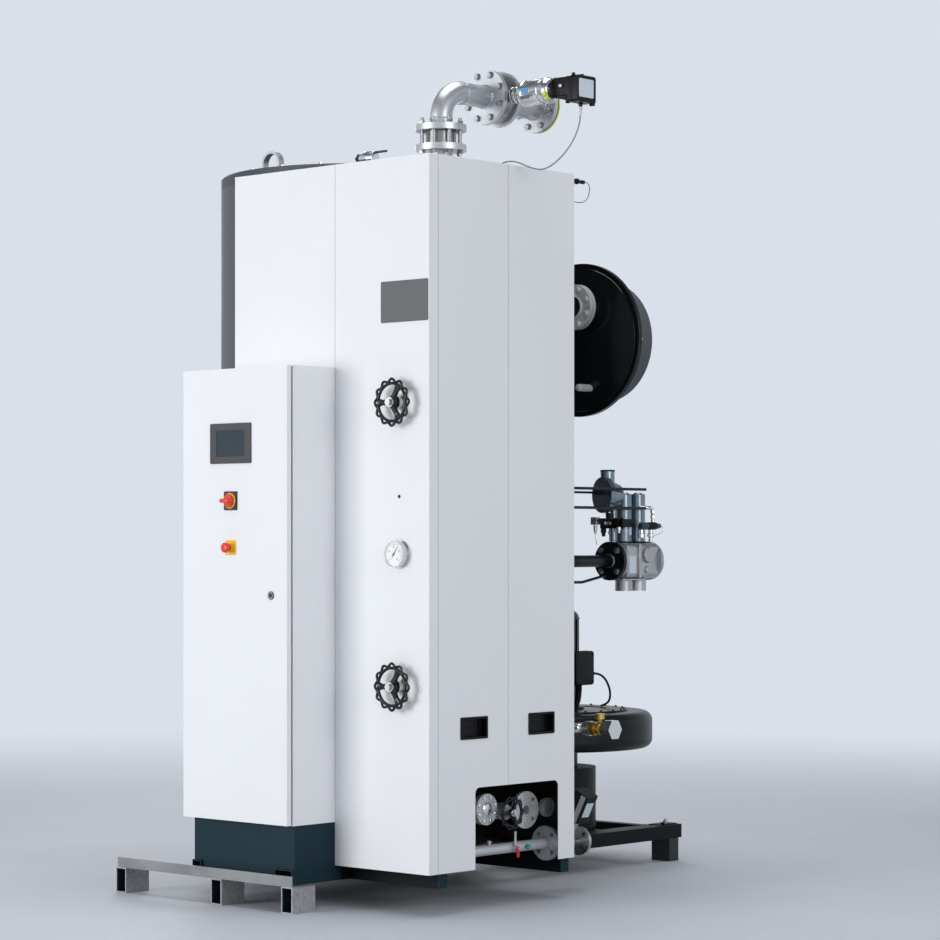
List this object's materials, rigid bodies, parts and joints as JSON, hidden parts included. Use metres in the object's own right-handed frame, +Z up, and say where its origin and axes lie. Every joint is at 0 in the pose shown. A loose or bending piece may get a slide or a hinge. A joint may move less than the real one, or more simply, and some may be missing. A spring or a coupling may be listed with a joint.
{
  "type": "steam generator",
  "caption": "Upright industrial steam generator on a skid, with a white sheet casing, control cabinet, valve handwheels, flanged steam outlet, round fan, gas train and rear drum.",
  "frame": {"origin": "centre of the underside of the front right foot, on the floor", "axes": "+Z up, +X to the right along the casing's front, +Y from the front to the back"},
  "size_m": [1.9381, 2.5093, 3.315],
  "materials": {
    "white_paint": "satin",
    "dark_paint": "satin",
    "grey_jacket": "satin",
    "black_paint": "semi-gloss",
    "galvanised": "matt",
    "steel": "satin",
    "aluminium": "satin",
    "black_plastic": "matt",
    "red_plastic": "gloss",
    "brass": "satin",
    "cable_rubber": "matt"
  },
  "bodies": {
    "machine": {"front_panel_left": "white_paint", "front_panel_right": "white_paint", "side_panel_front": "white_paint", "side_panel_back": "white_paint", "casing_back_panel": "white_paint", "casing_top_plate": "white_paint", "cabinet_body": "white_paint", "skid_frame": "dark_paint", "cabinet_plinth": "dark_paint", "boiler_shell": "grey_jacket", "boiler_bottom": "grey_jacket", "boiler_top": "grey_jacket", "drum_shell": "grey_jacket", "fan_housing": "black_paint", "fan_motor": "black_paint", "fan_pedestal": "black_paint", "drum_cover": "black_paint", "air_duct": "black_paint", "gas_pipe": "black_paint", "gas_bars": "black_paint", "feed_header": "black_paint", "blowdown_valve": "black_paint", "blowdown_actuator": "black_paint", "front_bar": "galvanised", "skid_feet": "galvanised", "outlet_riser": "steel", "check_valve": "steel", "outlet_elbow": "steel", "outlet_spool": "steel", "steam_valve": "steel", "valve_stems": "steel", "cabinet_hinges": "steel", "side_line": "steel", "drain_pipe": "steel", "feed_strainer": "steel", "feed_valve": "steel", "lifting_eye": "steel", "vent_valve": "steel", "drum_fittings": "steel", "pressure_gauge": "steel", "gas_valve_body": "aluminium", "gas_actuators": "aluminium", "gas_governor": "aluminium", "steam_actuator": "aluminium", "grip_cups": "black_plastic", "positioner": "black_plastic", "brass_cock": "brass", "signal_cable": "cable_rubber", "motor_cable": "cable_rubber"},
    "door": {"cabinet_door_panel": "white_paint", "display": "black_plastic", "control_plates": "black_plastic", "door_lock": "steel"},
    "main_switch": {"switch_knob": "red_plastic"},
    "stop": {"stop_button": "red_plastic"},
    "upper_wheel": {"upper_handwheel": "black_plastic"},
    "lower_wheel": {"lower_handwheel": "black_plastic"},
    "feed_wheel": {"feed_handwheel": "black_plastic"},
    "lever": {"drain_lever": "red_plastic"}
  },
  "joints": [
    {"name": "door_hinge", "type": "hinge", "parent": "machine", "child": "door", "pos_m": [-0.607, -0.038, 1.229], "axis": [0, 0, -1], "range_deg": [0, 110]},
    {"name": "switch_turn", "type": "hinge", "parent": "door", "child": "main_switch", "pos_m": [-0.333, -0.057, 1.6], "axis": [0, -1, 0], "range_deg": [0, 90]},
    {"name": "stop_press", "type": "slide", "parent": "door", "child": "stop", "axis": [0, 1, 0], "range_m": [0, 0.005]},
    {"name": "upper_wheel_turn", "type": "hinge", "parent": "machine", "child": "upper_wheel", "pos_m": [0.339, 0.171, 1.975], "axis": [0, -1, 0], "continuous": true},
    {"name": "lower_wheel_turn", "type": "hinge", "parent": "machine", "child": "lower_wheel", "pos_m": [0.339, 0.171, 0.88], "axis": [0, -1, 0], "continuous": true},
    {"name": "feed_wheel_turn", "type": "hinge", "parent": "machine", "child": "feed_wheel", "pos_m": [0.445, 0.748, 0.362], "axis": [1, 0, 0], "continuous": true},
    {"name": "drain_lever_turn", "type": "hinge", "parent": "machine", "child": "lever", "pos_m": [0.4412, 0.788, 0.218], "axis": [1, 0, 0], "range_deg": [0, 90]}
  ]
}
